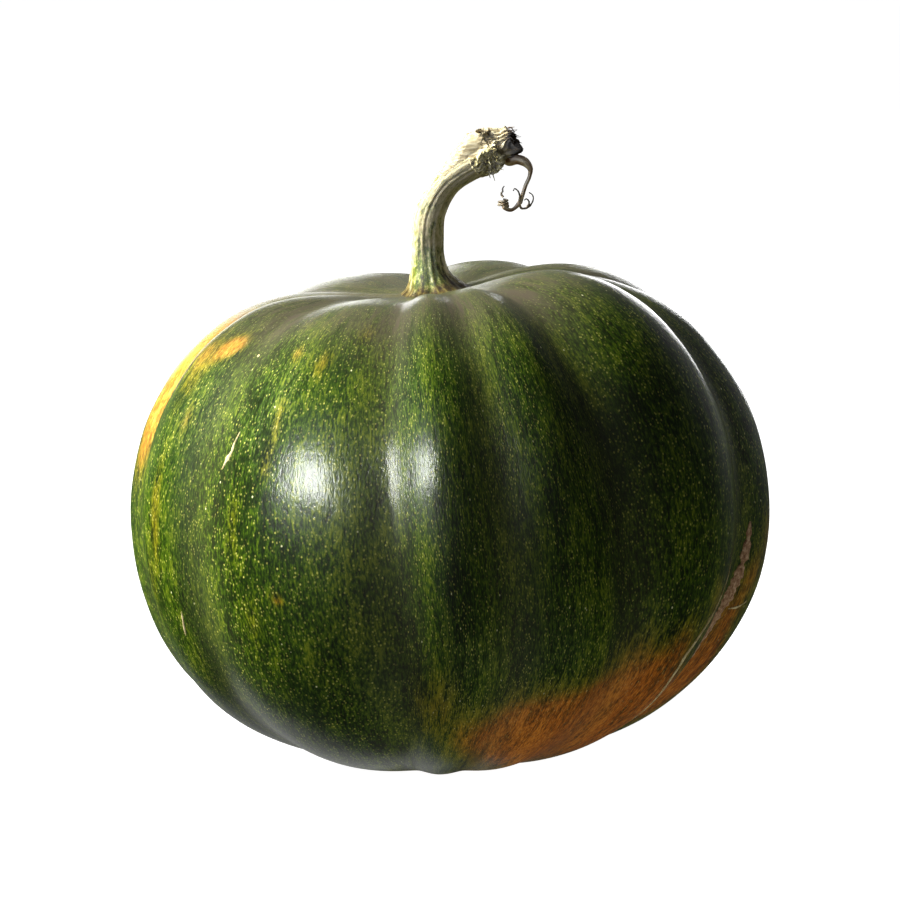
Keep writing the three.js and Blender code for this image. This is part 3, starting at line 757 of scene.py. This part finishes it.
def dried_vine():
    """Dried vine: loose bark over wood fibre. The eye sees tan and cream ridges along the vine, grey-brown
    between them, almost black where it is torn, and straw-yellow fibres in the scar; painted shade darkens
    its lower right side."""
    material, tree = new_material("pumpkin vine, dried and torn")
    grain = add(tree, "Attribute", attribute_name="grain").outputs["Vector"]
    burnt, fresh, high = (
        add(tree, "Attribute", attribute_name=name).outputs["Fac"] for name in ("burnt", "fresh", "high")
    )
    fibre = add(tree, "TexNoise", {"Vector": grain, "Scale": 1 / 0.8, "Detail": 4.0, "Roughness": 0.6})
    cloud = add(tree, "TexNoise", {"Vector": grain, "Scale": 1 / 3, "Detail": 3.0})
    tone = add(tree, "Math", {0: high, 1: 0.35, 2: fibre}, operation="MULTIPLY_ADD")
    bark = add(tree, "ValToRGB", {"Fac": tone}, [
        (0.4, srgb("#5a4a2e")), (0.62, srgb("#a89870")), (0.85, srgb("#e4dab4")),
    ])
    pale = add(tree, "ValToRGB", {"Fac": fibre}, [
        (0.38, srgb("#3a3012")), (0.47, srgb("#a09454")), (0.58, srgb("#f0e8b8")),
    ])
    dark = add(tree, "ValToRGB", {"Fac": fibre}, [
        (0.4, srgb("#120d08")), (0.55, srgb("#3c2c1c")), (0.7, srgb("#867050")),
    ])
    scarred = add(tree, "Mix", {"Factor": fresh, UNDER: bark, OVER: pale}, data_type="RGBA").outputs[MIXED]
    # dark at the torn ends and in the shoot's mouth, and painted shade on the lower right
    reach = add(tree, "Math", {0: cloud, 1: 0.8, 2: burnt}, operation="MULTIPLY_ADD")
    torn = add(tree, "MapRange", {0: reach, 1: 0.75, 2: 1.1})
    colour = add(tree, "Mix", {"Factor": torn, UNDER: scarred, OVER: dark}, data_type="RGBA").outputs[MIXED]
    relief = add(tree, "Bump", {"Strength": 0.8, "Distance": 0.3 * MM, "Height": fibre})
    wood = add(tree, "BsdfPrincipled", {
        "Base Color": colour, "Roughness": 0.75, "IOR": 1.5, "Normal": relief,
    })
    add(tree, "OutputMaterial", {0: wood})
    return material


vine = dried_vine()
make_piece("vine_knot", vertices, faces, vine, "dry_vine", "vine_stub", grain=grain, burnt=burnt,
           fresh=in_scar, high=0.5 + 0.5 * np.clip(lift / (2 * BARK_HEIGHT), -1, 1))


def strands(starts, ways, lengths, thick, seed, sag=0.25):
    """Torn fibres: each a tapering tube from its start along its way, bent a little to one side
    by the square of the distance along."""
    rng = np.random.default_rng(seed)
    parts = []
    share = np.linspace(0, 1, 9)[:, None]
    for start, way, length in zip(starts, ways, lengths):
        bend = rng.normal(size=3) * sag
        line = start + length * (way * share + bend * share**2)
        size = thick * rng.uniform(0.7, 1.3)
        parts.append(closed_grid(carried(line, lambda s, a, size=size: size * (1 - 0.75 * s), 6)))
    return joined(parts)


def turned_about(axis, angle, outwards):
    """Unit directions at the given angles about an axis, leaning outwards from it by the share
    outwards of their length, and the directions straight out at those angles."""
    across = np.cross(axis, (0, 0, 1))
    across /= np.linalg.norm(across)
    other = np.cross(axis, across)
    ring = across * np.cos(angle)[:, None] + other * np.sin(angle)[:, None]
    way = axis * np.sqrt(1 - outwards**2)[:, None] + ring * outwards[:, None]
    return way, ring


rng = np.random.default_rng(21)
SCAR_FIBRES = 54
LOOSE_GRAIN = 0.3  # a loose fibre is one strand, so the pattern on it is drawn out this much
angles = rng.uniform(0, 2 * np.pi, SCAR_FIBRES)
ways, ring = turned_about(scar_axis, angles, rng.uniform(0.5, 0.9, SCAR_FIBRES))
starts = KNOT + SCAR_POINTS[-1] - scar_axis * 0.9 + ring * rng.uniform(0.6, 4.2, SCAR_FIBRES)[:, None]
ways = 0.6 * ways + np.array((0.5, 0, -0.6))  # most of them were pulled down and to the right
vertices, faces = strands(starts, ways, rng.uniform(1.2, 2.4, SCAR_FIBRES), 0.36, 22, 0.4)
ones = np.ones(len(vertices))
make_piece("leaf_scar_fibres", vertices, faces, vine, "dry_vine",
           grain=(vertices - KNOT) * LOOSE_GRAIN, burnt=0 * ones, fresh=ones, high=ones)

TORN_FIBRES = 46
angles = rng.uniform(0, 2 * np.pi, TORN_FIBRES)
ways, ring = turned_about(log_axis, angles, rng.uniform(0.1, 0.6, TORN_FIBRES))
starts = KNOT + LOG_POINTS[-1] - log_axis * 1.2 + ring * rng.uniform(2.4, 5.4, TORN_FIBRES)[:, None]
vertices, faces = strands(starts, ways, rng.uniform(1.6, 3.8, TORN_FIBRES), 0.34, 23)
ones = np.ones(len(vertices))
make_piece("torn_fibres", vertices, faces, vine, "dry_vine",
           grain=(vertices - KNOT) * LOOSE_GRAIN, burnt=0.75 * ones, fresh=0 * ones, high=ones)

# ------------------------------------------------------------------------------------------
# The tendril. A climbing feeler that grew beside the leaf stalk and dried: it hangs from the
# knot, thins to a wire, and ends in small curls, one wound into a tight ball.

TENDRIL_ROOT_RADIUS = 1.9
TENDRIL_RADIUS = 0.75
CURL_RADIUS = 0.8
WIRE_SHARE = 0.62  # the free curls are this much thinner than the wound one
CURL_TIP_RADIUS = 0.35
COIL_RADIUS = 1.7
COIL_PITCH = 1.1
COIL_TURNS = 2.5
COIL_START = (-6.6, -0.6, -1.6)
TUBE_SIDES = 14
TENDRIL_ROOT = KNOT + np.array((6, -3, -5))
HANG = [(-1.4, 0.8, 1.2), (0, 0, 0), (3.2, -0.4, 0.6), (6.2, -0.8, -0.4), (8.2, -1, -3), (8, -1, -5.8),
        (6.4, -1, -9.6), (5.3, -1, -13.2), (4.5, -1, -16)]
HOOK = [(0.3, 0, -0.4), (-0.4, -0.8, 1), (-0.3, -1.4, 2.6), (-1, -1.8, 4.6), (-2.3, -1.8, 5.5),
        (-2.8, -1.8, 4.6)]
OUTER = [(-0.4, 0, 0.2), (0.4, 0.3, -2.2), (3, 0.8, -1.9), (4.5, 1.4, -0.2), (5, 1.8, 1.7),
         (4.5, 2, 2.9), (3.3, 2, 3.7)]
INNER = [(2.6, 0.9, -1.9), (3.3, 0.4, -0.6), (3.2, 0.2, 0.6), (2.3, 0.1, 1.4), (1.5, 0.2, 0.9)]
ARM = [(0, 0, 0.5), (-1.6, -0.4, -1.6), (-3.7, -1.2, -2.8)]
WISP = [(-6.6, -1.6, 2.2), (-7.4, -1.4, 3.4), (-6.8, -1.2, 4.5), (-6.9, -1.2, 5.4), (-6.2, -1.1, 6.5)]
node = TENDRIL_ROOT + HANG[-1]
turn = np.linspace(0, COIL_TURNS, int(12 * COIL_TURNS) + 1)
wound = 2 * np.pi * turn - np.pi / 2
ring = np.stack([COIL_RADIUS * np.cos(wound), COIL_RADIUS * np.sin(wound), COIL_PITCH * turn], -1)
left_curl = np.vstack([ARM, COIL_START + ring])


def curl_radius(share, angle):
    """From the curl's own thickness down to its tip, with faint joints along it."""
    joints = 0.1 * np.sin(40 * share) + 0.05 * np.cos(3 * angle)
    return mixed(CURL_RADIUS, CURL_TIP_RADIUS, share) * (1 + joints)


def wire_radius(share, angle):
    """A free curl: thinner than the wound one all along."""
    return WIRE_SHARE * curl_radius(share, angle)


def hang_radius(share, angle):
    """Thick at the root, a wire from two thirds down, ridged lengthwise."""
    plain = mixed(TENDRIL_ROOT_RADIUS, TENDRIL_RADIUS, ease((share - 0.28) / 0.3))
    return plain * (1 + 0.08 * np.cos(5 * angle + 4 * share))


def dried_tendril():
    """Dried tendril: a wiry stem skin shrunk on its fibres. The eye sees tan and beige stripes
    along it, and greyish brown tips."""
    material, tree = new_material("pumpkin tendril, dried")
    grow = add(tree, "Attribute", attribute_name="grow").outputs["Vector"]
    tip = add(tree, "Attribute", attribute_name="tip").outputs["Fac"]
    drawn = add(tree, "Mapping", {"Vector": grow, "Scale": (1, 1, 0.15)})
    stripe = add(tree, "TexNoise", {"Vector": drawn, "Scale": 1 / 0.8, "Detail": 3.0})
    tan = add(tree, "ValToRGB", {"Fac": stripe}, [
        (0.38, srgb("#946c40")), (0.5, srgb("#ccb084")), (0.6, srgb("#ece0c4")),
    ])
    grey = add(tree, "ValToRGB", {"Fac": stripe}, [(0.36, srgb("#48443a")), (0.62, srgb("#86806e"))])
    colour = add(tree, "Mix", {"Factor": tip, UNDER: tan, OVER: grey}, data_type="RGBA").outputs[MIXED]
    relief = add(tree, "Bump", {"Strength": 0.6, "Distance": 0.15 * MM, "Height": stripe})
    wire = add(tree, "BsdfPrincipled", {
        "Base Color": colour, "Roughness": 0.55, "IOR": 1.5, "Normal": relief,
    })
    add(tree, "OutputMaterial", {0: wire})
    return material


parts, flow, ends = [], [], []
for points, radius, steps, start, grey_tip in (
    (HANG, hang_radius, 110, TENDRIL_ROOT, 0.0), (left_curl, curl_radius, 170, node, 0.3),
    (HOOK, wire_radius, 70, node, 1.0), (OUTER, wire_radius, 90, node, 1.0),
    (INNER, wire_radius, 50, node, 1.0), (WISP, wire_radius, 50, node, 1.0),
):
    line, along = through(start + np.array(points), steps)
    grid = carried(line, radius, TUBE_SIDES)
    greying = np.clip(2 * grey_tip * np.linspace(0, 1, steps), 0, 1)
    parts.append(closed_grid(grid))
    flow.append(with_ends(tube_grow(grid, along, TENDRIL_RADIUS)))
    ends.append(with_ends(greying[:, None] * np.ones(TUBE_SIDES)))
vertices, faces = joined(parts)
make_piece("curled_tendril", vertices, faces, dried_tendril(), "dry_tendril", "tendril",
           grow=np.vstack(flow), tip=np.concatenate(ends))

# ------------------------------------------------------------------------------------------
# Floor, light and camera. A pale plain floor that only the camera sees; a big soft light at the
# left; a window and its halo that only shine in the wax; weak fill from the front, the back and
# below; edge lights from behind for the ribs' outlines; and the camera a little above the fruit.

FLOOR_RADIUS = 14.0
FLOOR_SIDES = 96
angle = np.linspace(0, 2 * np.pi, FLOOR_SIDES, endpoint=False)
mesh = bpy.data.meshes.new("floor")
rim = np.stack([FLOOR_RADIUS * np.cos(angle), FLOOR_RADIUS * np.sin(angle), 0 * angle], -1)
mesh.from_pydata(rim.tolist(), [], [list(range(FLOOR_SIDES))])
floor = bpy.data.objects.new("floor", mesh)
bpy.context.scene.collection.objects.link(floor)
floor.visible_diffuse = False
floor.visible_glossy = False
floor.visible_shadow = False  # the light from below stands for what the paper throws back
paper, tree = new_material("paper sweep, matt white")
lit = add(tree, "BsdfPrincipled", {
    "Base Color": srgb("#8c8c8c"), "Roughness": 0.9, "Specular IOR Level": 0.0,
    "Emission Color": srgb("#ffffff"), "Emission Strength": 1.0,
})
add(tree, "OutputMaterial", {0: lit})
mesh.materials.append(paper)

world = bpy.data.worlds.new("studio")
bpy.context.scene.world = world
world.use_nodes = True
world.node_tree.nodes.clear()
tree = world.node_tree
way = add(tree, "SeparateXYZ", {0: add(tree, "TexCoord").outputs["Generated"]})
behind = add(tree, "MapRange", {0: way.outputs["Y"], 1: 0.25, 2: 0.95, 3: 0.0, 4: 0.3},
             interpolation_type="SMOOTHSTEP")
above = add(tree, "MapRange", {0: way.outputs["Z"], 1: -0.2, 2: 0.1}, interpolation_type="SMOOTHSTEP")
mirrored = add(tree, "LightPath").outputs["Is Glossy Ray"]
wall = add(tree, "Math", {0: behind, 1: above}, operation="MULTIPLY")
wall = add(tree, "Math", {0: wall, 1: mirrored}, operation="MULTIPLY")
strength = add(tree, "Math", {0: wall, 1: 0.05})
sky = add(tree, "Background", {"Color": srgb("#ffffff"), "Strength": strength})
add(tree, "OutputWorld", {0: sky})

CENTRE = np.array([PLACE[0], PLACE[1], REST_HEIGHT]) * MM


def soft_light(name, azimuth, elevation, distance, size, watts, glossy=True, diffuse=True):
    """A square lamp that looks at the fruit's centre from an azimuth (0 is the front, 90 the
    right) and an elevation: the centre plus that direction times the distance."""
    a, e = np.radians(azimuth), np.radians(elevation)
    away = np.array([np.sin(a) * np.cos(e), -np.cos(a) * np.cos(e), np.sin(e)])
    data = bpy.data.lights.new(name, "AREA")
    data.shape = "RECTANGLE"
    data.size, data.size_y = size
    data.energy = watts
    lamp = bpy.data.objects.new(name, data)
    lamp.location = CENTRE + away * distance
    lamp.rotation_euler = Vector(-away).to_track_quat("-Z", "Y").to_euler()
    lamp.visible_camera = False
    lamp.visible_glossy = glossy
    lamp.visible_diffuse = diffuse
    bpy.context.scene.collection.objects.link(lamp)


soft_light("window", -41, 24, 1.1, (0.36, 0.36), 31, diffuse=False)
soft_light("halo", -50, 16, 1.1, (0.6, 0.6), 2, diffuse=False)
soft_light("side", -96, 34, 1.4, (0.8, 0.8), 102, glossy=False)
soft_light("front", -30, 18, 1.6, (0.8, 0.8), 1.4, glossy=False)
soft_light("edge_left", -170, 6, 1.6, (0.4, 0.5), 3, diffuse=False)
soft_light("edge_right", 166, 6, 1.6, (0.4, 0.5), 7, diffuse=False)
soft_light("back", 128, 10, 1.5, (0.8, 0.8), 6, glossy=False)
soft_light("bounce", 30, -62, 0.7, (0.7, 0.7), 2, glossy=False)
soft_light("bounce_left", -155, -45, 0.8, (0.5, 0.5), 0.5, diffuse=False)
bpy.context.scene.view_settings.view_transform = "Standard"

CAMERA_DISTANCE = 1.3
CAMERA_ELEVATION = np.radians(10.6)
LENS = 132.9
AIM = (0.8, 0, 18)  # how far above the fruit's middle the camera looks, in millimetres
camera = bpy.data.objects.new("camera", bpy.data.cameras.new("camera"))
camera.data.lens = LENS
camera.data.sensor_width = 36
spot = Vector(CENTRE) + CAMERA_DISTANCE * Vector((0, -np.cos(CAMERA_ELEVATION), np.sin(CAMERA_ELEVATION)))
camera.location = spot
target = Vector(CENTRE + np.array(AIM) * MM)
camera.rotation_euler = (target - spot).to_track_quat("-Z", "Y").to_euler()
bpy.context.scene.collection.objects.link(camera)
bpy.context.scene.camera = camera
